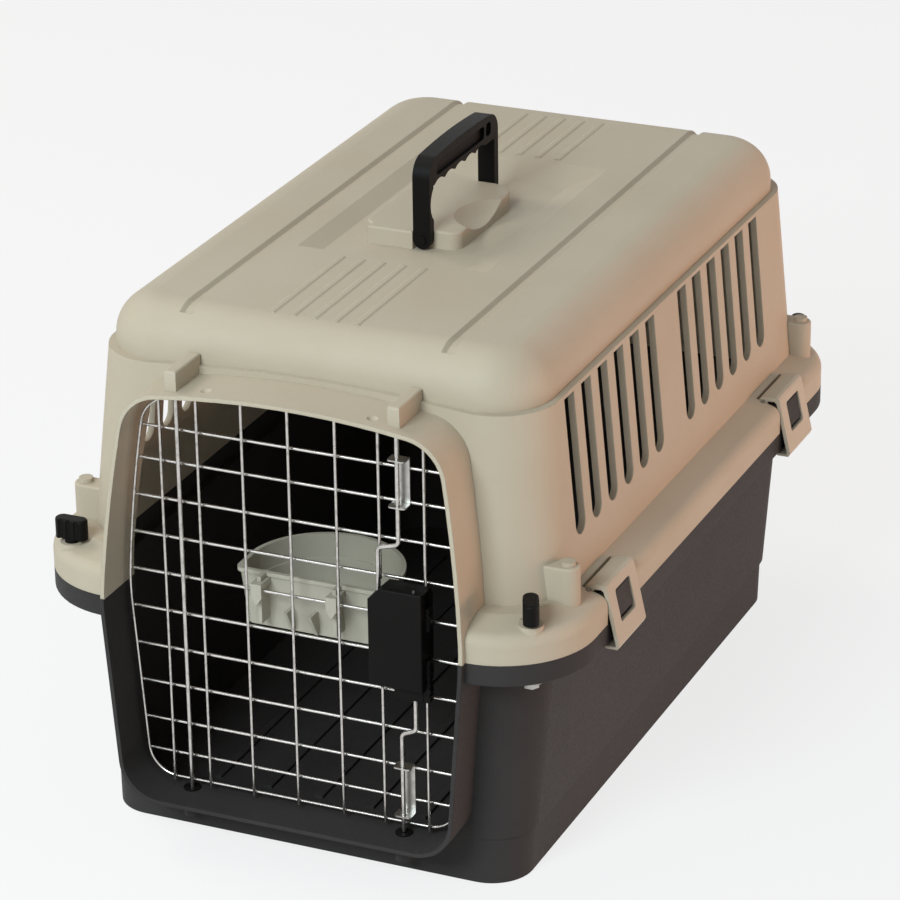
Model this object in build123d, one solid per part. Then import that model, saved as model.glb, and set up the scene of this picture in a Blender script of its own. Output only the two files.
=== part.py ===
from build123d import *
import math
import os

# Airline dog crate: two moulded shells bolted together, a wire door with a
# two-rod latch, a hanging bowl, four side clips and a folding carry handle.
# The door faces -Y, +Z is up, the origin is on the floor under the middle.

# Levels of the two shells
SKIRT_TOP = 34.0
SILL_TOP = 34.0
RIM_UNDER = 166.0
SPLIT_Z = 182.0
LEDGE_TOP = 208.5
LEDGE_LOW = 201.5
LEDGE_SLOPE = 24.0
SHOULDER_Z = 339.0
SHOULDER_CROWN = 345.0
ROOF_Z = 376.0
WALL = 3.0
FLOOR = 3.5

# Plans of the shells: half width, front, back, corner radius
FLOOR_PLAN = (157.0, -260.5, 253.0, 30.0)
SKIRT_PLAN = (158.0, -261.0, 255.5, 32.0)
STEP_PLAN = (160.0, -261.5, 257.5, 34.0)
RIM_WALL_PLAN = (169.0, -264.0, 273.5, 48.0)
RIM_PLAN = (200.0, -290.0, 296.0, 66.0)
SLEEVE_PLAN = (176.5, -254.0, 273.5, 46.0)
SHOULDER_PLAN = (164.4, -243.0, 268.5, 42.0)
DOME_PLAN = (159.6, -239.0, 264.0, 40.0)
DOME_FOOT = 330.0
DOME_EDGE = 30.0
LEDGE_EDGE = 9.0
RIM_EDGE = 2.0
ARCH_HALF = 118.0

# Doorway
SILL_HALF = 121.1
WAIST_HALF = 132.0
HOOD_MID = (126.9, 242.0)
HOOD_CORNER = (113.6, 328.5)
HOOD_CROWN = 338.4
SILL_CORNER_R = 27.0
WAIST_R = 200.0
HOOD_CORNER_R = 30.0
LIP_BASE_Y = -296.0
LIP_WAIST_Y = -295.0
LIP_CROWN_Y = -284.0

# Roof furniture
GROOVE_X = 96.4
GROOVE_TOP_HALF = 6.2
GROOVE_FLOOR_HALF = 2.5
GROOVE_DEPTH = 2.4
GROOVE_FRONT_TURN = 32.0
WELL_FLOOR = 370.6
WELL_LOW = (-63.0, 47.0, -80.0, 98.0)
WELL_HIGH = (-77.0, 66.0, -92.0, 134.0)
PLINTH_X = (-46.0, 27.0)
PLINTH_Y = (-48.6, 58.6)
PLINTH_TOP = 383.5
STOP_EDGE_X = -5.1
SCOOP_PLACE = (40.0, -2.0)
SCOOP_R = 60.0
SCOOP_RIM_R = 34.0
FINE_RIB_X = (-38.3, -22.7, -7.1, 8.5, 24.1)
FINE_RIB_FRONT = (-213.0, -101.0)
FINE_RIB_BACK = (140.0, 228.0)
FINE_RIB_HALF = 3.6
FINE_RIB_HEIGHT = 0.8
LUG_HALF = 4.5
LUG_FRONT = -276.5
LUG_TOP = 350.5

# Slots
SLOT_PITCH = 29.6
SLOT_WIDTH = 17.0
SLOT_BOTTOM = 237.0
SLOT_TOP = 336.0
SLOT_GROUPS = (-191.5, 19.0)
SLOTS_PER_GROUP = 6
SLOT_REVEAL = 5.0
BACK_SLOTS = 3
BACK_SLOT_X = -38.1

# Corner bolts and wing nuts
BOLT_FRONT = (171.0, -265.0)
BOLT_BACK = (171.0, 271.0)
BOLT_R = 3.0
BOLT_HOLE_R = 3.3
BOSS_R = 8.5
NUT_SEAT = 206.5
NUT_UNDER = 209.2
NUT_BORE_R = 3.05
NUT_LONG = 24.0
NUT_THICK = 11.0
NUT_TOP = 224.0
NUT_FLUTES = (-6.0, 0.0, 6.0)
NUT_TURNS = (0.0, 66.5, 113.5, 113.5)

# Side clips
CLIP_Y = (-175.0, 172.5)
CLIP_PIN_X = 186.0
CLIP_PIN_Z = 205.0
CLIP_PIN_R = 1.5
CLIP_WIDTH = 50.0
POCKET_HALF = 26.0
POCKET_BACK = 180.8
CLIP_WINDOW = (179.0, 201.8, 13.0)
TONGUE_HALF = 12.0
RUNNING_FIT = 0.05

# Wire door
WIRE_R = 1.1
ROD_R = 1.6
FRAME_Y = -266.8
LAYER = 2.0
FRAME_INSET = 5.6
WIRE_POKE = 2.0
UPRIGHT_X = (-97.0, -69.1, -35.6, -1.4, 33.1, 64.3, 97.1)
LEVEL_Z = (303.8, 279.2, 251.0, 222.8, 194.6, 166.4, 138.2, 110.0, 81.8, 57.6)
CUT_UPRIGHTS = (64.3, 97.1)
CUT_Z = (141.0, 221.9)
HINGE_X = -83.5
LATCH_X = 79.5
GUIDE_LEFT = 3.0
GUIDE_RIGHT = 6.6
GUIDE_EYE_LEFT = 6.4
GUIDE_SHEET = 1.0
UPPER_GUIDE = (277.5, 312.0)
LOWER_GUIDE = (47.0, 85.0)

# Latch
COVER_X = (60.6, 100.0)
COVER_Z = (149.0, 221.0)
COVER_FRONT = -283.0
HOUSING_FRONT = -277.0
LATCH_CHAMFER = 9.0
LATCH_WALL = 2.0
LATCH_PIN = (93.2, -279.4)
LATCH_PIN_R = 0.9
SLIDER_GRIP_X = 102.6

# Bowl
BOWL_X = (-51.6, 60.6)
BOWL_FRONT = -255.0
BOWL_BACK = -176.0
BOWL_TOP = 203.6
BOWL_BOTTOM = 160.7
BOWL_WALL = 2.2
HOOK_X = (-29.0, 27.0)

# Carry handle
HANDLE_X = 2.0
HANDLE_Z = 378.0
HANDLE_Y = (-56.0, 66.0)
HANDLE_TOP = 438.8
HANDLE_DROP = 3.0
GRIP_UNDER = 417.2
SCALLOP_Y = (-38.0, -20.0, -2.0, 16.0, 34.0)
SCALLOP_R = 16.0
SCALLOP_DEPTH = 2.4
GRIP_POCKETS = ((-43.0, 41.0), (44.0, 53.0))
GRIP_POCKET_Z = (422.6, 432.4)
GRIP_POCKET_DEPTH = 3.0
HANDLE_WIDTH = 13.0
LEG_THICK = 7.0
HANDLE_PIN_R = 2.0

upright_y = FRAME_Y - LAYER
level_y = FRAME_Y + LAYER
hinge_y = FRAME_Y - WIRE_R - ROD_R
latch_y = upright_y - WIRE_R - ROD_R - 0.6


# Shared helpers
def block(x0, x1, y0, y1, z0, z1):
    centre = Pos((x0 + x1) / 2, (y0 + y1) / 2, (z0 + z1) / 2)
    return centre * Box(abs(x1 - x0), abs(y1 - y0), abs(z1 - z0))


def post(radius, x, y, z0, z1):
    return Pos(x, y, (z0 + z1) / 2) * Cylinder(radius, z1 - z0)


def bar_y(radius, x, z, y0, y1):
    return Pos(x, (y0 + y1) / 2, z) * Rot(90, 0, 0) * Cylinder(radius, y1 - y0)


def bar_x(radius, y, z, x0, x1):
    return Pos((x0 + x1) / 2, y, z) * Rot(0, 90, 0) * Cylinder(radius, x1 - x0)


def shrink(plan, by):
    half, front, back, radius = plan
    return (half - by, front + by, back - by, radius - by)


def sheet(plan, z):
    half, front, back, radius = plan
    return Pos(0, (front + back) / 2, z) * RectangleRounded(2 * half, back - front, radius)


def straight(plan, z0, z1):
    return extrude(sheet(plan, z0), amount=z1 - z0, dir=(0, 0, 1))


def tapered(low, z0, high, z1):
    return loft([sheet(low, z0).face(), sheet(high, z1).face()], ruled=True)


def top_edges(solid, z):
    return solid.edges().filter_by(lambda e: abs(e.bounding_box().min.Z - z) < 0.01
                                   and abs(e.bounding_box().max.Z - z) < 0.01)


def rounded_top(plan, z0, z1, radius):
    body = straight(plan, z0, z1)
    return fillet(top_edges(body, z1), radius)


def sloped_ledge(inset, z0):
    plan = shrink(RIM_PLAN, inset)
    low = LEDGE_LOW - inset
    body = straight(plan, z0, low)
    body += tapered(plan, low, shrink(RIM_PLAN, inset + LEDGE_SLOPE), LEDGE_TOP - inset)
    return fillet(top_edges(body, low), LEDGE_EDGE - inset)


def facing(y):
    return Plane(origin=(0, y, 0), x_dir=(1, 0, 0), z_dir=(0, -1, 0))


def along_y(points, y0, y1):
    shape = facing(y1) * Polygon(*points, align=None)
    return extrude(shape, amount=y1 - y0, dir=(0, -1, 0))


def along_x(points, x0, x1):
    side = Plane(origin=(x0, 0, 0), x_dir=(0, 1, 0), z_dir=(1, 0, 0))
    return extrude(side * Polygon(*points, align=None), amount=x1 - x0, dir=(1, 0, 0))


def mirrored(solid):
    return mirror(solid, about=Plane.YZ)


def save(shape, node):
    export_step(shape, f"parts/{node}.step")


# Doorway outline, seen from the front; grow moves it outwards all round
def doorway(grow=0.0):
    slope = (WAIST_HALF - SILL_HALF) / (SPLIT_Z - SILL_TOP)
    sill = (SILL_HALF + grow * (1 - slope), SILL_TOP - grow)
    waist = (WAIST_HALF + grow, SPLIT_Z)
    mid = (HOOD_MID[0] + 0.994 * grow, HOOD_MID[1] + 0.111 * grow)
    corner = (HOOD_CORNER[0] + 0.849 * grow, HOOD_CORNER[1] + 0.866 * grow)
    with BuildSketch() as outline:
        with BuildLine():
            Line((-sill[0], sill[1]), sill)
            Line(sill, waist)
            ThreePointArc(waist, mid, corner)
            ThreePointArc(corner, (0, HOOD_CROWN + grow), (-corner[0], corner[1]))
            ThreePointArc((-corner[0], corner[1]), (-mid[0], mid[1]), (-waist[0], waist[1]))
            Line((-waist[0], waist[1]), (-sill[0], sill[1]))
        make_face()
        low = outline.vertices().filter_by(lambda v: abs(v.Y - sill[1]) < 0.5)
        fillet(low, SILL_CORNER_R + grow)
        side = outline.vertices().filter_by(lambda v: abs(v.Y - SPLIT_Z) < 0.5)
        fillet(side, WAIST_R)
        high = outline.vertices().filter_by(
            lambda v: abs(abs(v.X) - corner[0]) < 0.5 and abs(v.Y - corner[1]) < 0.5)
        fillet(high, HOOD_CORNER_R + grow)
    return outline.sketch


def doorway_prism(grow, y0, y1):
    return extrude(facing(y1) * doorway(grow), amount=y1 - y0, dir=(0, -1, 0))


def arc_height(x, inset):
    drop = HOOD_CROWN - HOOD_CORNER[1]
    radius = (HOOD_CORNER[0] ** 2 + drop ** 2) / (2 * drop)
    return HOOD_CROWN - radius + math.sqrt((radius - inset) ** 2 - x ** 2)


opening = doorway_prism(0, -320, -236)
collar_outer = doorway_prism(WALL, LIP_BASE_Y, -250)
hood_outer = doorway_prism(WALL, LIP_BASE_Y, -236.5)
below_split = block(-230, 230, -330, 330, -5, SPLIT_Z)
above_split = block(-230, 230, -330, 330, SPLIT_Z, 460)

bolt_places = []
for side in (-1, 1):
    for x, y in (BOLT_FRONT, BOLT_BACK):
        bolt_places.append((side * x, y))

clip_places = [(side, y) for side in (-1, 1) for y in CLIP_Y]


# Bottom shell; the tongues rise from its rim through the windows of the side clips
TONGUE = [(192, 181), (202.4, 181), (203.4, 182.2), (199.6, 199.4), (198.2, 200.8), (192, 200.8)]


def make_bottom_shell():
    skirt = tapered(FLOOR_PLAN, 0, SKIRT_PLAN, SKIRT_TOP)
    wall = tapered(STEP_PLAN, SKIRT_TOP, RIM_WALL_PLAN, RIM_UNDER)
    rim = straight(RIM_PLAN, RIM_UNDER, SPLIT_Z)
    rim = fillet(top_edges(rim, RIM_UNDER), RIM_EDGE)
    shell = skirt + wall + rim + (collar_outer & below_split)
    for x, y in ((HINGE_X, hinge_y), (LATCH_X, latch_y)):
        shell += post(6.0, x, y, 14, SILL_TOP)
        shell += block(x - 2, x + 2, y, -258, 14, SILL_TOP - 1)
    shell -= tapered(shrink(FLOOR_PLAN, WALL), FLOOR, shrink(SKIRT_PLAN, WALL), SKIRT_TOP - 1)
    shell -= tapered(shrink(SKIRT_PLAN, WALL), SKIRT_TOP - 1,
                     shrink(RIM_WALL_PLAN, WALL), RIM_UNDER + WALL)
    shell -= straight(shrink(SLEEVE_PLAN, WALL), RIM_UNDER + WALL, SPLIT_Z + 1)

    hollow = straight(shrink(RIM_PLAN, WALL), RIM_UNDER + WALL, SPLIT_Z + 1)
    hollow -= straight(SLEEVE_PLAN, RIM_UNDER, SPLIT_Z + 2)
    hollow -= collar_outer
    for x, y in bolt_places:
        hollow -= post(9.0, x, y, RIM_UNDER, SPLIT_Z + 2)
    shell -= hollow
    for side, y in clip_places:
        shell += block(side * 190, side * 200, y - 19, y + 19, RIM_UNDER + 1, SPLIT_Z)
        shell += block(side * 190, side * 195.5, y - 19, y + 19, SPLIT_Z - 1, 201)
        tongue = along_y(TONGUE, y - TONGUE_HALF, y + TONGUE_HALF)
        shell += tongue if side > 0 else mirrored(tongue)
    shell -= opening
    for x, y in bolt_places:
        shell -= post(BOLT_HOLE_R, x, y, RIM_UNDER - 5, SPLIT_Z + 5)
    for x, y in ((HINGE_X, hinge_y), (LATCH_X, latch_y)):
        shell -= post(4 + RUNNING_FIT, x, y, 20, SILL_TOP + 1)
    for x in range(-100, 101, 40):
        shell += block(x - 3, x + 3, -200, 200, FLOOR - 1, FLOOR + 2)
    return shell


# Top shell
def clip_pocket(side, y):
    return block(side * POCKET_BACK, side * 205, y - POCKET_HALF, y + POCKET_HALF,
                 SPLIT_Z - 1, LEDGE_TOP + 5)


def locating_post(side, y):
    with BuildSketch(Plane.XY.offset(SPLIT_Z + 20)) as outline:
        with Locations((side * 172, y)):
            Rectangle(16, 17)
        with Locations((side * 180, y)):
            Ellipse(9, 8.5)
    body = extrude(outline.sketch, amount=233 - SPLIT_Z - 20, dir=(0, 0, 1))
    body = fillet(top_edges(body, 233), 1.5)
    bump = post(5.0, side * 181, y, 225, 236)
    return body + bump


def side_slots():
    depth = 40
    cut = None
    for start in SLOT_GROUPS:
        for i in range(SLOTS_PER_GROUP):
            y0 = start + i * SLOT_PITCH
            one = block(150, 150 + depth, y0, y0 + SLOT_WIDTH,
                        SLOT_BOTTOM + SLOT_WIDTH / 2, SLOT_TOP)
            one += bar_x(SLOT_WIDTH / 2, y0 + SLOT_WIDTH / 2, SLOT_BOTTOM + SLOT_WIDTH / 2,
                         150, 150 + depth)
            cut = one if cut is None else cut + one
    return cut


def back_slots():
    cut = None
    for i in range(BACK_SLOTS):
        x = BACK_SLOT_X + i * SLOT_PITCH + SLOT_WIDTH / 2
        one = block(x - SLOT_WIDTH / 2, x + SLOT_WIDTH / 2, 250, 290,
                    SLOT_BOTTOM + SLOT_WIDTH / 2, SLOT_TOP)
        one += bar_y(SLOT_WIDTH / 2, x, SLOT_BOTTOM + SLOT_WIDTH / 2, 250, 290)
        cut = one if cut is None else cut + one
    return cut


def make_top_shell():
    ledge = sloped_ledge(0, SPLIT_Z)
    wall = tapered(SLEEVE_PLAN, LEDGE_TOP - 0.5, SHOULDER_PLAN, SHOULDER_Z)
    dome = rounded_top(DOME_PLAN, DOME_FOOT, ROOF_Z, DOME_EDGE)
    hood = hood_outer & above_split
    lean = along_x([(-330, SPLIT_Z), (LIP_WAIST_Y, SPLIT_Z),
                    (LIP_CROWN_Y, HOOD_CROWN), (LIP_CROWN_Y, 360), (-330, 360)], -160, 160)
    with BuildSketch(facing(-233)) as front:
        with BuildLine():
            Line((-ARCH_HALF, SHOULDER_Z - 2), (ARCH_HALF, SHOULDER_Z - 2))
            Line((ARCH_HALF, SHOULDER_Z - 2), (ARCH_HALF, SHOULDER_Z))
            ThreePointArc((ARCH_HALF, SHOULDER_Z), (0, SHOULDER_CROWN), (-ARCH_HALF, SHOULDER_Z))
            Line((-ARCH_HALF, SHOULDER_Z), (-ARCH_HALF, SHOULDER_Z - 2))
        make_face()
    arch = extrude(front.sketch, amount=10, dir=(0, -1, 0))
    shell = ledge + wall + dome + arch + (hood - lean)
    for side in (-1, 1):
        shell += locating_post(side, -224)
        shell += locating_post(side, 245)
    for x in (HINGE_X, LATCH_X):
        lug = block(x - LUG_HALF, x + LUG_HALF, LUG_FRONT, -240, 325, LUG_TOP)
        shell += fillet(top_edges(lug, LUG_TOP), 1.5)

    inner_wall = shrink(SHOULDER_PLAN, WALL)
    shell -= straight(shrink(SLEEVE_PLAN, WALL), SPLIT_Z - 1, LEDGE_TOP)
    shell -= tapered(shrink(SLEEVE_PLAN, WALL), LEDGE_TOP, inner_wall, SHOULDER_Z - WALL)
    shell -= rounded_top(shrink(DOME_PLAN, WALL), DOME_FOOT, ROOF_Z - WALL, DOME_EDGE - WALL)

    hollow = sloped_ledge(WALL, SPLIT_Z - 1)
    hollow -= straight(SLEEVE_PLAN, SPLIT_Z - 2, LEDGE_TOP)
    hollow -= collar_outer
    for x, y in bolt_places:
        hollow -= post(BOSS_R + 3, x, y, SPLIT_Z - 2, LEDGE_TOP)
    for side, y in clip_places:
        hollow -= block(side * 170, side * 200, y - POCKET_HALF - WALL, y + POCKET_HALF + WALL,
                        SPLIT_Z - 2, LEDGE_TOP)
    shell -= hollow

    for start in SLOT_GROUPS:
        length = (SLOTS_PER_GROUP - 1) * SLOT_PITCH + SLOT_WIDTH
        pad = tapered_pad(start - 4, start + length + 4)
        shell += pad + mirrored(pad)
    shell += back_pad()
    slots = side_slots()
    shell -= slots
    shell -= mirrored(slots)
    shell -= back_slots()

    for side, y in clip_places:
        shell -= clip_pocket(side, y)
        shell -= bar_y(CLIP_PIN_R + RUNNING_FIT, side * CLIP_PIN_X, CLIP_PIN_Z,
                       y - POCKET_HALF - 2.5, y + POCKET_HALF + 2.5)
    for x, y in bolt_places:
        shell += post(BOSS_R, x, y, SPLIT_Z, NUT_SEAT)
        shell -= post(BOSS_R + 0.5, x, y, NUT_SEAT, 240)
        shell -= post(BOLT_HOLE_R, x, y, SPLIT_Z - 5, 240)
    shell -= opening & above_split
    shell -= post(ROD_R + RUNNING_FIT, HINGE_X, hinge_y, 325, 348)
    shell -= post(2.2, LATCH_X, latch_y, 325, 350)
    return furnish_roof(shell)


def tapered_pad(y0, y1):
    z0 = SLOT_BOTTOM - 6
    z1 = SHOULDER_Z - 2
    slope = (SLEEVE_PLAN[0] - SHOULDER_PLAN[0]) / (SHOULDER_Z - LEDGE_TOP)

    def wall_x(z):
        return SLEEVE_PLAN[0] - slope * (z - LEDGE_TOP)

    near = SLOT_REVEAL
    far = WALL / 2
    return along_y([(wall_x(z0) - near, z0), (wall_x(z0) - far, z0),
                    (wall_x(z1) - far, z1), (wall_x(z1) - near, z1)], y0, y1)


def back_pad():
    z0 = SLOT_BOTTOM - 6
    z1 = SHOULDER_Z - 2
    slope = (SLEEVE_PLAN[2] - SHOULDER_PLAN[2]) / (SHOULDER_Z - LEDGE_TOP)

    def wall_y(z):
        return SLEEVE_PLAN[2] - slope * (z - LEDGE_TOP)

    near = SLOT_REVEAL
    far = WALL / 2
    half = -BACK_SLOT_X + 4
    return along_x([(wall_y(z0) - near, z0), (wall_y(z0) - far, z0),
                    (wall_y(z1) - far, z1), (wall_y(z1) - near, z1)], -half, half)


def make_groove(x):
    section = [(x - GROOVE_TOP_HALF, ROOF_Z + 1), (x - GROOVE_FLOOR_HALF, ROOF_Z - GROOVE_DEPTH),
               (x + GROOVE_FLOOR_HALF, ROOF_Z - GROOVE_DEPTH), (x + GROOVE_TOP_HALF, ROOF_Z + 1)]
    front = DOME_PLAN[1] + DOME_EDGE
    back = DOME_PLAN[2] - DOME_EDGE
    groove = along_y(section, front, back)
    for y, turn, angle in ((front, 1, GROOVE_FRONT_TURN), (back, -1, 90)):
        axis = Axis((0, y, ROOF_Z - DOME_EDGE), (turn, 0, 0))
        groove += revolve(facing(y) * Polygon(*section, align=None), axis=axis,
                          revolution_arc=angle)
    return groove


def well_outline(z, grow):
    share = (z - WELL_FLOOR) / (ROOF_Z - WELL_FLOOR)
    x0, x1, y0, y1 = [low + share * (high - low) for low, high in zip(WELL_LOW, WELL_HIGH)]
    centre = Pos((x0 + x1) / 2, (y0 + y1) / 2, z)
    return centre * Rectangle(x1 - x0 + 2 * grow, y1 - y0 + 2 * grow)


def well_block(top, grow):
    low = well_outline(WELL_FLOOR, grow).face()
    return loft([low, well_outline(top, grow).face()], ruled=True)


def furnish_roof(shell):
    # Two long grooves, each with a bead under it so the wall keeps its thickness
    liner = rounded_top(shrink(DOME_PLAN, WALL - 0.5), DOME_FOOT, ROOF_Z - WALL + 0.5,
                        DOME_EDGE - WALL + 0.5)
    liner -= rounded_top(shrink(DOME_PLAN, WALL + 2), DOME_FOOT - 1, ROOF_Z - WALL - 2,
                         DOME_EDGE - WALL - 2)
    for side in (-1, 1):
        x = side * GROOVE_X
        half = GROOVE_TOP_HALF + 3
        shell += liner & block(x - half, x + half, -228, 258, 350, 390)
        shell -= make_groove(x)

    # Sunken well with sloping sides and a tray of even thickness under it
    shell += Pos(0, 0, -WALL) * well_block(ROOF_Z + WALL / 2, WALL)
    shell -= well_block(ROOF_Z + 1, 0)

    # Plinth that carries the handle, with the stop in front of its left part
    x0, x1 = PLINTH_X
    y0, y1 = PLINTH_Y
    plinth = block(x0, x1, y0, y1, WELL_FLOOR - 1, PLINTH_TOP)
    corners = plinth.edges().filter_by(Axis.Z)
    plinth = fillet(corners.filter_by(lambda e: e.center().Y > 0), 20.0)
    corners = plinth.edges().filter_by(Axis.Z).filter_by(lambda e: e.center().Y < y0 + 1)
    plinth = fillet(corners, 9.0)
    plinth += block(-30, HANDLE_X + 12, y0, y0 + 10, WELL_FLOOR - 1, PLINTH_TOP)
    stop = block(x0 + 6, STOP_EDGE_X, HANDLE_Y[0], y0 + 2, WELL_FLOOR - 1, PLINTH_TOP)
    plinth += stop
    shell += fillet(top_edges(plinth, PLINTH_TOP), 1.5)
    shell -= block(x0 + 4, -10, y0 + 8, y1 - 22, WELL_FLOOR - 5, PLINTH_TOP - 2.5)
    rise = math.sqrt(SCOOP_R ** 2 - SCOOP_RIM_R ** 2)
    shell -= Pos(SCOOP_PLACE[0], SCOOP_PLACE[1], PLINTH_TOP + rise) * Sphere(SCOOP_R)
    shell -= bar_y(HANDLE_PIN_R + RUNNING_FIT, HANDLE_X, HANDLE_Z, y0 - 8, y0 + 14)
    shell -= bar_y(HANDLE_PIN_R + RUNNING_FIT, HANDLE_X, HANDLE_Z, y1 - 14, y1 + 8)

    # Fine raised ribs in front of the well and behind it
    for x in FINE_RIB_X:
        for a, b in (FINE_RIB_FRONT, FINE_RIB_BACK):
            base = FINE_RIB_HALF
            crest = FINE_RIB_HALF - 2
            shell += along_y([(x - base, ROOF_Z - 0.4), (x + base, ROOF_Z - 0.4),
                              (x + crest, ROOF_Z + FINE_RIB_HEIGHT),
                              (x - crest, ROOF_Z + FINE_RIB_HEIGHT)], a, b)
    for x in (-59.0, 63.0):
        z = arc_height(x, -WALL)
        shell -= Pos(x, -272, z + 3.2) * Sphere(5.0)
    return shell


# Side clips, their pins and the corner fastenings
CLIP_OUTLINE = [(186, 208.5), (195.2, 209.4), (197.6, 208.8), (198.8, 207.0), (207.9, 166.2),
                (206.6, 163.4), (198.2, 163.4), (197.3, 164.2), (197.3, 165.5), (198.3, 165.5),
                (199.6, 165.2), (205.0, 165.2), (205.4, 166.2), (196.4, 204.4), (194.8, 205.8),
                (189, 205.6), (188, 203)]


def make_clip(side, y):
    low, high = y - CLIP_WIDTH / 2, y + CLIP_WIDTH / 2
    clip = along_y(CLIP_OUTLINE, low, high) + bar_y(3.5, CLIP_PIN_X, CLIP_PIN_Z, low, high)
    base, top, half = CLIP_WINDOW
    window = block(191, 220, y - half, y + half, base, top)
    clip -= fillet(window.edges().filter_by(Axis.X), 2.0)
    clip -= bar_y(CLIP_PIN_R + RUNNING_FIT, CLIP_PIN_X, CLIP_PIN_Z, low - 1, high + 1)
    return clip if side > 0 else mirrored(clip)


def make_wing_nut(x, y, turn):
    wing = Pos(0, 0, NUT_UNDER) * extrude(SlotOverall(NUT_LONG, NUT_THICK),
                                          amount=NUT_TOP - NUT_UNDER)
    wing = fillet(top_edges(wing, NUT_TOP), 2.0)
    for end in (-1, 1):
        for k in NUT_FLUTES:
            wing -= Pos(k, end * (NUT_THICK / 2 + 0.8), 212) * Cylinder(2.0, 30)
    nut = wing + post(5.2, 0, 0, NUT_SEAT, NUT_UNDER)
    nut -= post(NUT_BORE_R, 0, 0, NUT_SEAT - 1, 219)
    return Pos(x, y, 0) * Rot(0, 0, turn) * nut


def make_bolt(x, y):
    head = extrude(Pos(0, 0, RIM_UNDER - 5.6) * RegularPolygon(5.6, 6), amount=4)
    washer = post(8.0, 0, 0, RIM_UNDER - 1.6, RIM_UNDER)
    shank = post(BOLT_R, 0, 0, RIM_UNDER - 2, 217)
    return Pos(x, y, 0) * (head + washer + shank)


# Wire door
def wire_through(points, radius, bend):
    path = FilletPolyline(*points, radius=bend)
    start = Plane(origin=path @ 0, z_dir=path % 0)
    return sweep(start * Circle(radius), path=path)


def make_grille():
    ring = doorway(-FRAME_INSET).face().outer_wire()
    path = facing(FRAME_Y) * ring
    start = Plane(origin=path @ 0, z_dir=path % 0)
    frame = sweep(start * Circle(WIRE_R), path=path)
    levels = [bar_x(WIRE_R, level_y, z, -140, 140) for z in LEVEL_Z]
    uprights = []
    for x in UPRIGHT_X:
        if x in CUT_UPRIGHTS:
            uprights.append(post(WIRE_R, x, upright_y, 30, CUT_Z[0]))
            uprights.append(post(WIRE_R, x, upright_y, CUT_Z[1], 345))
        else:
            uprights.append(post(WIRE_R, x, upright_y, 30, 345))
    limit = doorway_prism(WIRE_POKE - FRAME_INSET, FRAME_Y - 20, FRAME_Y + 20)
    grille = frame
    for bar in levels + uprights:
        grille += bar & limit
    return grille


# A folded strip welded on the level wires, with an eye at each end for the rod
def make_rod_guide(z0, z1):
    back = level_y - WIRE_R
    right = LATCH_X + GUIDE_RIGHT
    eye_front = latch_y - ROD_R - 1.6
    guide = block(LATCH_X - GUIDE_LEFT, right, back - GUIDE_SHEET, back, z0, z1)
    for z in (z0, z1 - GUIDE_SHEET):
        eye = block(LATCH_X - GUIDE_EYE_LEFT, right, eye_front, back, z, z + GUIDE_SHEET)
        guide += fillet(eye.edges().filter_by(Axis.Z).sort_by(Axis.Y)[:2], 2.5)
    return guide - post(ROD_R + 0.3, LATCH_X, latch_y, z0 - 1, z1 + 1)


# Latch
def latch_outline(shrink_by=0.0):
    x0, x1 = COVER_X[0] + shrink_by, COVER_X[1] - shrink_by
    z0, z1 = COVER_Z[0] + shrink_by, COVER_Z[1] - shrink_by
    c = LATCH_CHAMFER - shrink_by * 0.4
    return [(x0, z0), (x1, z0), (x1, z1), (x0 + c, z1), (x0, z1 - c)]


def make_latch_cover():
    cover = along_y(latch_outline(), COVER_FRONT, HOUSING_FRONT)
    front = cover.faces().sort_by(Axis.Y)[0]
    cover = fillet(front.edges(), 1.2)
    cover -= along_y(latch_outline(LATCH_WALL), COVER_FRONT + 2, HOUSING_FRONT + 1)
    return cover - post(LATCH_PIN_R + 0.05, *LATCH_PIN, 210, 225)


def make_latch_housing():
    back = level_y - WIRE_R
    housing = along_y(latch_outline(), HOUSING_FRONT, back)
    housing -= along_y(latch_outline(1.6), HOUSING_FRONT - 1, back - LATCH_WALL)
    housing += block(COVER_X[0] + 1, COVER_X[1] - 1, HOUSING_FRONT, back - 1, 177, 184)
    housing -= block(62.4, 66.2, HOUSING_FRONT - 1, back - LATCH_WALL, 205, 225)
    housing -= block(75.9, 99, HOUSING_FRONT - 1, back - LATCH_WALL, 148, 152)
    housing -= block(97, 101, HOUSING_FRONT - 1, back - LATCH_WALL, 148, 172)
    housing -= block(97, 101, HOUSING_FRONT - 1, back - LATCH_WALL, 190, 218.6)
    for x in (72, 92):
        housing -= bar_y(1.5, x, 180.5, -275, back + 1)
    return housing


def make_upper_slider():
    slider = block(69.6, 97.8, -276.6, -270.1, 192, 208.4)
    grip = block(97, SLIDER_GRIP_X, -276.2, -270.2, 192, 208.4)
    slider += fillet(grip.edges().filter_by(Axis.Y), 1.2)
    slider -= bar_x(ROD_R + RUNNING_FIT, latch_y, 203, 60, 75)
    for z in (196, 200.5, 205):
        slider -= bar_y(0.8, SLIDER_GRIP_X, z, -280, -260)
    return slider


def make_lower_slider():
    slider = block(76.4, 97.6, -276.6, -270.1, 139, 170)
    grip = block(97, SLIDER_GRIP_X, -276.2, -270.2, 139, 170)
    slider += fillet(grip.edges().filter_by(Axis.Y), 1.2)
    slider -= post(ROD_R + RUNNING_FIT, 90, latch_y, 130, 160)
    for z in (145, 150, 155, 160, 165):
        slider -= bar_y(0.8, SLIDER_GRIP_X, z, -280, -260)
    return slider


def make_spring(z0, z1):
    wire = 0.45
    turns = 4
    height = z1 - z0 - 2 * wire
    path = Pos(82, -273.2, z0 + wire) * Helix(pitch=height / turns, height=height, radius=3)
    start = Plane(origin=path @ 0, z_dir=path % 0)
    return sweep(start * Circle(wire), path=path, is_frenet=True)


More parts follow.
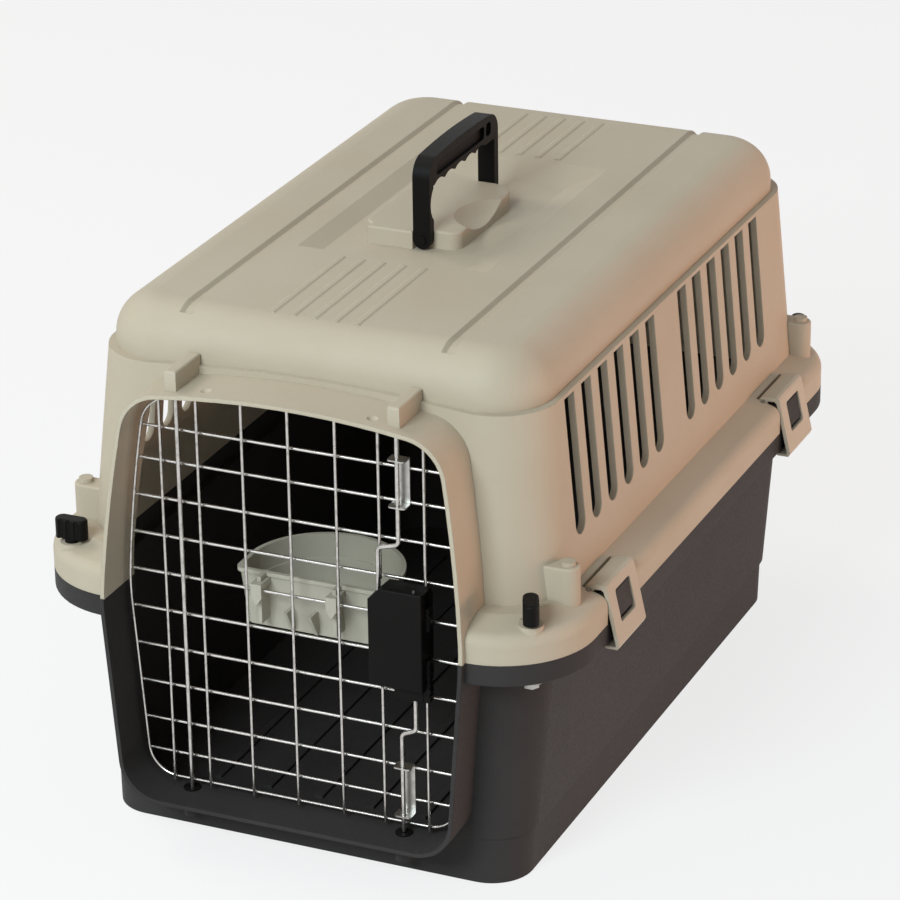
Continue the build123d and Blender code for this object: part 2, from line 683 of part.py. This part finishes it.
# Bowl
def bowl_plan(z, inset):
    x0, x1 = BOWL_X[0] + inset, BOWL_X[1] - inset
    front = BOWL_FRONT + inset
    back = BOWL_BACK - inset
    mid = (x0 + x1) / 2
    with BuildSketch(Plane.XY.offset(z)) as outline:
        with BuildLine():
            Line((x0, front), (x1, front))
            Line((x1, front), (x1, -224))
            ThreePointArc((x1, -224), (mid, back), (x0, -224))
            Line((x0, -224), (x0, front))
        make_face()
        fillet(outline.vertices().filter_by(lambda v: v.Y < -230), 6)
    return outline.sketch


def make_bowl():
    bowl = loft([bowl_plan(BOWL_BOTTOM, 5).face(), bowl_plan(BOWL_TOP - 3, 1.5).face()],
                ruled=True)
    bowl += extrude(bowl_plan(BOWL_TOP - 3, 0), amount=3, dir=(0, 0, 1))
    bowl -= loft([bowl_plan(BOWL_BOTTOM + 2.5, 8.2).face(), bowl_plan(186, 5.4).face()],
                 ruled=True)
    bowl -= loft([bowl_plan(186, 4.2).face(), bowl_plan(BOWL_TOP + 0.5, 3.2).face()], ruled=True)
    wire_back = level_y + WIRE_R + 0.3
    wire_front = level_y - WIRE_R - 0.3
    for x in HOOK_X:
        bowl += block(x - 1.5, x + 1.5, wire_back, BOWL_FRONT + 4, BOWL_BOTTOM + 8, BOWL_TOP)
        bowl += block(x - 4, x + 4, wire_front - 2.5, BOWL_FRONT + 2, 195.9, BOWL_TOP - 3.5)
        tab = Polygon((x - 4, 197), (x - 4, 190), (x, 184), (x + 4, 190), (x + 4, 197),
                      align=None)
        bowl += extrude(facing(wire_front) * tab, amount=2.5, dir=(0, -1, 0))
    for x in (-10.0, 8.0):
        gusset = along_x([(wire_back, BOWL_TOP - 24), (BOWL_FRONT + 4, BOWL_TOP - 24),
                          (BOWL_FRONT + 4, BOWL_BOTTOM + 1), (BOWL_FRONT + 2, BOWL_BOTTOM + 1)],
                         x - 1.2, x + 1.2)
        bowl += gusset
    return bowl


# Carry handle
def make_handle():
    y0, y1 = HANDLE_Y
    end = HANDLE_TOP - HANDLE_DROP
    side = Plane(origin=(HANDLE_X - HANDLE_WIDTH / 2, 0, 0), x_dir=(0, 1, 0), z_dir=(1, 0, 0))
    with BuildSketch(side) as outline:
        with BuildLine():
            Line((y0, HANDLE_Z), (y0, end))
            ThreePointArc((y0, end), ((y0 + y1) / 2, HANDLE_TOP), (y1, end))
            Line((y1, end), (y1, HANDLE_Z))
            Line((y1, HANDLE_Z), (y0, HANDLE_Z))
        make_face()
        fillet(outline.vertices().filter_by(lambda v: v.Y > end - 2), 14)
        with BuildLine():
            Line((y0 + LEG_THICK, HANDLE_Z - 1), (y0 + LEG_THICK, GRIP_UNDER))
            Line((y0 + LEG_THICK, GRIP_UNDER), (y1 - LEG_THICK, GRIP_UNDER))
            Line((y1 - LEG_THICK, GRIP_UNDER), (y1 - LEG_THICK, HANDLE_Z - 1))
            Line((y1 - LEG_THICK, HANDLE_Z - 1), (y0 + LEG_THICK, HANDLE_Z - 1))
        make_face(mode=Mode.SUBTRACT)
    bail = extrude(outline.sketch, amount=HANDLE_WIDTH, dir=(1, 0, 0))
    for y in SCALLOP_Y:
        bail -= bar_x(SCALLOP_R, y, GRIP_UNDER + SCALLOP_DEPTH - SCALLOP_R, -30, 30)
    half = HANDLE_WIDTH / 2
    for low, high in GRIP_POCKETS:
        for x in (HANDLE_X - half, HANDLE_X + half):
            pocket = block(x - GRIP_POCKET_DEPTH, x + GRIP_POCKET_DEPTH, low, high, *GRIP_POCKET_Z)
            bail -= fillet(pocket.edges().filter_by(Axis.X), 3.0)
    for y in (y0, y1 - LEG_THICK):
        bail += bar_y(HANDLE_WIDTH / 2, HANDLE_X, HANDLE_Z, y, y + LEG_THICK)
    for y in (y0, y1 - LEG_THICK):
        bail -= bar_y(HANDLE_PIN_R + RUNNING_FIT, HANDLE_X, HANDLE_Z, y - 1, y + LEG_THICK + 1)
    return bail


def make_handle_pins():
    y0, y1 = HANDLE_Y
    front = bar_y(HANDLE_PIN_R, HANDLE_X, HANDLE_Z, y0 - 1, PLINTH_Y[0] + 12)
    front += bar_y(3.2, HANDLE_X, HANDLE_Z, y0 - 1.0, y0 - 0.1)
    back = bar_y(HANDLE_PIN_R, HANDLE_X, HANDLE_Z, PLINTH_Y[1] - 12, y1 + 1)
    back += bar_y(3.2, HANDLE_X, HANDLE_Z, y1 + 0.1, y1 + 1.0)
    return Compound([front, back])


# Everything is written out, one file for each node
os.makedirs("parts", exist_ok=True)

save(make_bottom_shell(), "bottom_shell")
save(make_top_shell(), "top_shell")

save(make_grille(), "door_grille")
save(post(ROD_R, HINGE_X, hinge_y, 24, 346), "hinge_rod")

bushes = []
for x, y, bore in ((HINGE_X, hinge_y, ROD_R + RUNNING_FIT), (LATCH_X, latch_y, ROD_R + 0.4)):
    bush = post(4.0, x, y, 20, SILL_TOP) + post(6.0, x, y, SILL_TOP, SILL_TOP + 1)
    bushes.append(bush - post(bore, x, y, 19, SILL_TOP + 3))
save(Compound(bushes), "sill_bushes")

tip_high = arc_height(LATCH_X, 0) - 0.8
tip_low = SILL_TOP + 1.4
upper_points = [(LATCH_X, latch_y, tip_high), (LATCH_X, latch_y, 250), (64.3, latch_y, 246),
                (64.3, latch_y, 203), (74, latch_y, 203)]
lower_points = [(90, latch_y, 159), (90, latch_y, 114.3), (LATCH_X, latch_y, 109.7),
                (LATCH_X, latch_y, tip_low)]
save(wire_through(upper_points, ROD_R, 4.0), "upper_latch_rod")
save(wire_through(lower_points, ROD_R, 4.0), "lower_latch_rod")
save(make_rod_guide(*UPPER_GUIDE), "upper_rod_guide")
save(make_rod_guide(*LOWER_GUIDE), "lower_rod_guide")

save(make_latch_cover(), "latch_cover")
save(make_latch_housing(), "latch_housing")
save(post(LATCH_PIN_R, *LATCH_PIN, 212, 222.4), "latch_pin")
plate_y = level_y + WIRE_R
plate = fillet(block(64, 99, plate_y, plate_y + 2, 153, 217).edges().filter_by(Axis.Y), 3)
screws = []
for x in (72, 92):
    plate -= bar_y(1.6, x, 180.5, plate_y - 1, plate_y + 3)
    screws.append(bar_y(1.45, x, 180.5, -273, plate_y + 3) +
                  bar_y(3.0, x, 180.5, plate_y + 2, plate_y + 4))
save(plate, "latch_back_plate")
save(Compound(screws), "latch_screws")
save(make_upper_slider(), "upper_slider")
save(make_lower_slider(), "lower_slider")
save(make_spring(184, 192), "upper_spring")
save(make_spring(170, 177), "lower_spring")

save(make_bowl(), "food_bowl")
save(make_handle(), "carry_handle")
save(make_handle_pins(), "handle_pins")

side_names = {-1: "left", 1: "right"}
pins = []
for side, y in clip_places:
    place = "front" if y < 0 else "rear"
    save(make_clip(side, y), f"clip_{place}_{side_names[side]}")
    pins.append(bar_y(CLIP_PIN_R, side * CLIP_PIN_X, CLIP_PIN_Z, y - POCKET_HALF - 2,
                      y + POCKET_HALF + 2))
save(Compound(pins), "clip_pins")

for (x, y), turn in zip(bolt_places, NUT_TURNS):
    place = "front" if y < 0 else "rear"
    save(make_wing_nut(x, y, turn), f"wing_nut_{place}_{side_names[1 if x > 0 else -1]}")
save(Compound([make_bolt(x, y) for x, y in bolt_places]), "corner_bolts")
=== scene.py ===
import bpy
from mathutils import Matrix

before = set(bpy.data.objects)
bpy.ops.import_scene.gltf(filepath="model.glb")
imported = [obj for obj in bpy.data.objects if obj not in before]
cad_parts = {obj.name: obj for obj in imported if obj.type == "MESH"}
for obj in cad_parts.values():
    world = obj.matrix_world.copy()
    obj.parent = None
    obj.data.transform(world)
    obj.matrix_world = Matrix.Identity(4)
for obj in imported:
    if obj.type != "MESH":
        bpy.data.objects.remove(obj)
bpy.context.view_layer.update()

import math

import bmesh
import bpy
from mathutils import Matrix, Vector

# Camera
# A long lens about three metres away, to the right of the door and above the roof, tipped down.
# Turn, tilt and roll were solved from the straight lines of the wire door in the photograph.
TURN = math.radians(23.98)
TILT = math.radians(23.65)
ROLL = math.radians(-0.78)
LENS_MM = 158.24
SENSOR_MM = 36
CAMERA_PLACE = (1.0721, -2.4179, 1.3534)
FARTHEST_SEEN = 50

forward = Vector((-math.sin(TURN) * math.cos(TILT), math.cos(TURN) * math.cos(TILT),
                  -math.sin(TILT)))
level_right = Vector((math.cos(TURN), math.sin(TURN), 0))
level_up = level_right.cross(forward)
right = math.cos(ROLL) * level_right + math.sin(ROLL) * level_up
up = right.cross(forward)
camera_data = bpy.data.cameras.new("camera")
camera_data.lens = LENS_MM
camera_data.sensor_width = SENSOR_MM
camera_data.clip_end = FARTHEST_SEEN
camera = bpy.data.objects.new("camera", camera_data)
bpy.context.scene.collection.objects.link(camera)
camera.matrix_world = Matrix((
    (right.x, up.x, -forward.x, CAMERA_PLACE[0]),
    (right.y, up.y, -forward.y, CAMERA_PLACE[1]),
    (right.z, up.z, -forward.z, CAMERA_PLACE[2]),
    (0, 0, 0, 1)))
bpy.context.scene.camera = camera
bpy.context.scene.view_settings.view_transform = "Standard"


# Bottom shell
# A deep tub injection-moulded in charcoal polypropylene, with a hollow rim, a step low on the
# wall and a thin sill tunnel in front of the end wall. The mould was spark-eroded, which leaves
# a fine matt grain, and handling has rubbed its edges a little paler.
def linear(code):
    value = []
    for start in (1, 3, 5):
        share = int(code[start:start + 2], 16) / 255
        value.append(share / 12.92 if share <= 0.04045 else ((share + 0.055) / 1.055) ** 2.4)
    return (*value, 1.0)


def add(material, kind, inputs=None, **settings):
    made = material.node_tree.nodes.new(kind)
    for name, value in settings.items():
        setattr(made, name, value)
    for name, value in (inputs or {}).items():
        if isinstance(value, bpy.types.NodeSocket):
            material.node_tree.links.new(value, made.inputs[name])
        else:
            made.inputs[name].default_value = value
    return made


def new_material(name):
    material = bpy.data.materials.new(name)
    material.use_nodes = True
    material.node_tree.nodes.clear()
    return material


def finish_surface(material, shader):
    add(material, "ShaderNodeOutputMaterial", {"Surface": shader.outputs[0]})
    return material


def dress(material, *node_names):
    for node_name in node_names:
        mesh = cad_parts[node_name].data
        mesh.materials.clear()
        mesh.materials.append(material)


MM_PER_M = 1000
PLASTIC_IOR = 1.49
FLOW_MM = 120               # tone drifts where the melt flowed
FLOW_FROM, FLOW_TO = 0.35, 0.68
SCUFF_MM = 6                # patches of handling wear along an edge
SCUFF_FROM, SCUFF_TO = 0.42, 0.66
MOST_RUBBED = 0.45
EDGE_STARTS, EDGE_FULL = 0.995, 0.90    # cosine between the rounded normal and the facet's
EDGE_SAMPLES = 3
GRAIN_DEPTH_MM = 0.12
GRAIN_STRENGTH = 0.35
GRAINS_IN_FINE_NOISE = 2.5
GLOSS_FROM, GLOSS_TO = 0.3, 0.7
SMOOTHER, ROUGHER = 0.05, 0.07


# The real grain's cells are about 0.3 mm wide. They are drawn at 0.7 to 0.9 mm, because finer
# cells wouldn't show in the picture.
def moulded_polypropylene(name, body, flow, rubbed, roughness, specular, grain_mm, edge_mm):
    material = new_material(name)
    place = add(material, "ShaderNodeTexCoord")
    soft = add(material, "ShaderNodeBevel", {"Radius": edge_mm / MM_PER_M}, samples=EDGE_SAMPLES)
    facet = add(material, "ShaderNodeNewGeometry")
    flow_noise = add(material, "ShaderNodeTexNoise",
                     {"Vector": place.outputs["Object"], "Scale": MM_PER_M / FLOW_MM,
                      "Detail": 4.0, "Roughness": 0.55})
    flow_share = add(material, "ShaderNodeMapRange",
                     {"Value": flow_noise.outputs["Fac"], "From Min": FLOW_FROM,
                      "From Max": FLOW_TO})
    tone = add(material, "ShaderNodeMix",
               {0: flow_share.outputs[0], 6: linear(body), 7: linear(flow)}, data_type="RGBA")
    # Where the rounded normal leaves the facet's own, the surface is an edge and is rubbed
    agree = add(material, "ShaderNodeVectorMath",
                {0: soft.outputs[0], 1: facet.outputs["Normal"]}, operation="DOT_PRODUCT")
    edge = add(material, "ShaderNodeMapRange",
               {"Value": agree.outputs["Value"], "From Min": EDGE_STARTS, "From Max": EDGE_FULL})
    scuffs = add(material, "ShaderNodeTexNoise",
                 {"Vector": place.outputs["Object"], "Scale": MM_PER_M / SCUFF_MM,
                  "Detail": 5.0})
    scuff_share = add(material, "ShaderNodeMapRange",
                      {"Value": scuffs.outputs["Fac"], "From Min": SCUFF_FROM,
                       "From Max": SCUFF_TO, "To Max": MOST_RUBBED})
    worn = add(material, "ShaderNodeMath", {0: edge.outputs[0], 1: scuff_share.outputs[0]},
               operation="MULTIPLY", use_clamp=True)
    colour = add(material, "ShaderNodeMix",
                 {0: worn.outputs[0], 6: tone.outputs[2], 7: linear(rubbed)}, data_type="RGBA")
    # Spark-eroded grain: rounded cells with a softer, wider noise over them
    cells = add(material, "ShaderNodeTexVoronoi",
                {"Vector": place.outputs["Object"], "Scale": MM_PER_M / grain_mm},
                feature="SMOOTH_F1")
    fine = add(material, "ShaderNodeTexNoise",
               {"Vector": place.outputs["Object"],
                "Scale": MM_PER_M / (grain_mm * GRAINS_IN_FINE_NOISE), "Detail": 3.0})
    relief = add(material, "ShaderNodeMath",
                 {0: cells.outputs["Distance"], 1: fine.outputs["Fac"]}, operation="ADD")
    bump = add(material, "ShaderNodeBump",
               {"Height": relief.outputs[0], "Strength": GRAIN_STRENGTH,
                "Distance": GRAIN_DEPTH_MM / MM_PER_M, "Normal": soft.outputs[0]})
    gloss = add(material, "ShaderNodeMapRange",
                {"Value": fine.outputs["Fac"], "From Min": GLOSS_FROM, "From Max": GLOSS_TO,
                 "To Min": roughness - SMOOTHER, "To Max": roughness + ROUGHER})
    shader = add(material, "ShaderNodeBsdfPrincipled",
                 {"Base Color": colour.outputs[2], "Roughness": gloss.outputs[0],
                  "Normal": bump.outputs[0], "IOR": PLASTIC_IOR,
                  "Specular IOR Level": specular})
    return finish_surface(material, shader)


dress(moulded_polypropylene("charcoal_polypropylene",
                            body="#343130", flow="#3A3736", rubbed="#504D4B",
                            roughness=0.60, specular=0.12, grain_mm=0.9, edge_mm=0.9),
      "bottom_shell")

# Top shell
# The beige roof half in the same grained polypropylene: hooded doorway, slotted side walls and
# a domed roof with two grooves and the sunken plinth that carries the handle.
dress(moulded_polypropylene("beige_polypropylene",
                            body="#B9AD99", flow="#B4A792", rubbed="#CBC2B0",
                            roughness=0.52, specular=0.16, grain_mm=0.9, edge_mm=0.9),
      "top_shell")

# Side clips and their pins
# Four beige clips of the roof's plastic, a little smoother to the touch, that turn on steel
# pins and hook under the charcoal rim, with the rim's own tongue showing in their windows.
clip_names = [f"clip_{place}_{side}" for place in ("front", "rear") for side in ("left", "right")]
dress(moulded_polypropylene("smooth_beige_polypropylene",
                            body="#BDB29F", flow="#B8AC98", rubbed="#CEC6B6",
                            roughness=0.44, specular=0.20, grain_mm=0.7, edge_mm=0.8),
      *clip_names)

SWELL_MM = 20               # slow unevenness of the drawn surface
SWELL_DEPTH_MM = 0.2
SWELL_STRENGTH = 0.2
PATCH_MM = 5                # duller patches
DULL_FROM, DULL_TO = 0.45, 0.75
POLISH_FROM, POLISH_TO = 0.4, 0.75
POLISH_LOST = 0.14


# Steel is drawn or pressed, then plated: bright, a little uneven along its length, with duller
# patches where it was welded or handled.
def plated_steel(name, bright, dull, roughness):
    material = new_material(name)
    place = add(material, "ShaderNodeTexCoord")
    swells = add(material, "ShaderNodeTexNoise",
                 {"Vector": place.outputs["Object"], "Scale": MM_PER_M / SWELL_MM,
                  "Detail": 2.0})
    patches = add(material, "ShaderNodeTexNoise",
                  {"Vector": place.outputs["Object"], "Scale": MM_PER_M / PATCH_MM,
                   "Detail": 4.0})
    dull_share = add(material, "ShaderNodeMapRange",
                     {"Value": patches.outputs["Fac"], "From Min": DULL_FROM,
                      "From Max": DULL_TO})
    colour = add(material, "ShaderNodeMix",
                 {0: dull_share.outputs[0], 6: linear(bright), 7: linear(dull)},
                 data_type="RGBA")
    polish = add(material, "ShaderNodeMapRange",
                 {"Value": patches.outputs["Fac"], "From Min": POLISH_FROM,
                  "From Max": POLISH_TO, "To Min": roughness,
                  "To Max": roughness + POLISH_LOST})
    bump = add(material, "ShaderNodeBump",
               {"Height": swells.outputs["Fac"], "Strength": SWELL_STRENGTH,
                "Distance": SWELL_DEPTH_MM / MM_PER_M})
    shader = add(material, "ShaderNodeBsdfPrincipled",
                 {"Base Color": colour.outputs[2], "Metallic": 1.0,
                  "Roughness": polish.outputs[0], "Normal": bump.outputs[0]})
    return finish_surface(material, shader)


zinc_plated_steel = plated_steel("zinc_plated_steel", bright="#B0AFAA", dull="#8B8984",
                                 roughness=0.36)
dress(zinc_plated_steel, "clip_pins")

# Corner fastenings
# A zinc-plated hexagon bolt pushed up through both rims at each corner, closed by a fluted
# wing nut moulded in black polypropylene.
black_polypropylene = moulded_polypropylene(
    "black_polypropylene", body="#0B0A09", flow="#100E0D", rubbed="#23201D",
    roughness=0.50, specular=0.10, grain_mm=0.8, edge_mm=0.6)
nut_names = [f"wing_nut_{place}_{side}" for place in ("front", "rear")
             for side in ("left", "right")]
dress(black_polypropylene, *nut_names)
dress(zinc_plated_steel, "corner_bolts")

# Door
# A welded grille of drawn steel wire, nickel-chrome plated after welding, with the thicker
# hinge rod and the two sliding latch rods plated the same way. The rod guides are folded strip,
# and the rods run in black bushes in the sill.
dress(plated_steel("chrome_plated_wire", bright="#CFCCC8", dull="#A9A5A0", roughness=0.20),
      "door_grille", "hinge_rod", "upper_latch_rod", "lower_latch_rod")
dress(plated_steel("chrome_plated_strip", bright="#C4C2BE", dull="#A5A29D", roughness=0.28),
      "upper_rod_guide", "lower_rod_guide")
dress(black_polypropylene, "sill_bushes")

# Latch
# A case of two black polypropylene halves clamped on the wires, with two ribbed sliders in it.
# Screws, a small pin and two springs of zinc-plated steel hold it together.
dress(black_polypropylene, "latch_cover", "latch_housing", "latch_back_plate", "upper_slider",
      "lower_slider")
dress(zinc_plated_steel, "latch_screws", "latch_pin", "upper_spring", "lower_spring")

# Bowl
# A thin D-shaped bowl in pale beige polypropylene with a satin skin, hung by two hooks on one
# level wire of the door.
dress(moulded_polypropylene("satin_beige_polypropylene",
                            body="#AFA99A", flow="#A8A191", rubbed="#C4BFB1",
                            roughness=0.38, specular=0.25, grain_mm=0.7, edge_mm=0.5),
      "food_bowl")

# Carry handle
# A thick black polypropylene bail with a scalloped grip, folding on two pins in the plinth.
dress(black_polypropylene, "carry_handle", "handle_pins")

# Floor
# A plain sheet of pale paper. Part of its brightness is its own, and only for rays that come
# from the camera, a reflection or through glass, so it looks near white and keeps the shadow.
FLOOR_HALF = 6.0
FLOOR_SQUARES = 8
FLOOR_DROP = 0.0005
MOTTLE_MM = 300
OWN_BRIGHTNESS = 0.8
PAPER_WHITE = "#FCFCFC"

floor_mesh = bpy.data.meshes.new("floor")
grid = bmesh.new()
bmesh.ops.create_grid(grid, x_segments=FLOOR_SQUARES, y_segments=FLOOR_SQUARES, size=FLOOR_HALF)
grid.to_mesh(floor_mesh)
grid.free()
floor = bpy.data.objects.new("floor", floor_mesh)
floor.location = (0, 0, -FLOOR_DROP)
bpy.context.scene.collection.objects.link(floor)


def seen_directly(material):
    path = add(material, "ShaderNodeLightPath")
    either = add(material, "ShaderNodeMath",
                 {0: path.outputs["Is Camera Ray"], 1: path.outputs["Is Glossy Ray"]},
                 operation="MAXIMUM")
    return add(material, "ShaderNodeMath",
               {0: either.outputs[0], 1: path.outputs["Is Transmission Ray"]},
               operation="MAXIMUM")


paper = new_material("pale_paper")
own_share = add(paper, "ShaderNodeMath",
                {0: seen_directly(paper).outputs[0], 1: OWN_BRIGHTNESS}, operation="MULTIPLY")
mottle = add(paper, "ShaderNodeTexNoise",
             {"Scale": 2 * FLOOR_HALF * MM_PER_M / MOTTLE_MM, "Detail": 3.0})
pulp = add(paper, "ShaderNodeMix",
           {0: mottle.outputs["Fac"], 6: linear("#ECECEB"), 7: linear("#E8E8E7")},
           data_type="RGBA")
matt = add(paper, "ShaderNodeBsdfDiffuse", {"Color": pulp.outputs[2]})
pale = add(paper, "ShaderNodeEmission", {"Color": linear(PAPER_WHITE), "Strength": 1.0})
both = add(paper, "ShaderNodeMixShader",
           {0: own_share.outputs[0], 1: matt.outputs[0], 2: pale.outputs[0]})
floor_mesh.materials.append(finish_surface(paper, both))


# Light
# A large cool panel in front and a little to the left, a neutral one high on the left, a low
# warm strip that lights only the slotted side, and an even pale world.
def panel(name, place, target, size, watts, colour):
    data = bpy.data.lights.new(name, "AREA")
    data.shape = "RECTANGLE"
    data.size = size[0]
    data.size_y = size[1]
    data.energy = watts
    data.color = linear(colour)[:3]
    lamp = bpy.data.objects.new(name, data)
    lamp.location = place
    aim = Vector(target) - Vector(place)
    lamp.rotation_euler = aim.to_track_quat("-Z", "Y").to_euler()
    bpy.context.scene.collection.objects.link(lamp)


panel("front_light", place=(-0.3, -2.6, 1.9), target=(0, 0, 0.2), size=(1.2, 0.9), watts=74,
      colour="#E6F7FF")
panel("high_left_light", place=(-2.0, 0.3, 2.4), target=(0, 0, 0.3), size=(1.2, 1.2), watts=26,
      colour="#FFFAF2")
panel("low_warm_strip", place=(2.3, 0.8, 0.22), target=(0.2, 0.2, 0.22), size=(1.8, 0.3),
      watts=27, colour="#FFC4A6")

ROOM_STRENGTH = 0.37
world = bpy.data.worlds.new("even_room")
world.use_nodes = True
world.node_tree.nodes.clear()
ambient = add(world, "ShaderNodeBackground",
              {"Color": linear("#F8F8F8"), "Strength": ROOM_STRENGTH})
white = add(world, "ShaderNodeBackground", {"Color": linear(PAPER_WHITE), "Strength": 1.0})
blend = add(world, "ShaderNodeMixShader",
            {0: seen_directly(world).outputs[0], 1: ambient.outputs[0], 2: white.outputs[0]})
add(world, "ShaderNodeOutputWorld", {"Surface": blend.outputs[0]})
bpy.context.scene.world = world
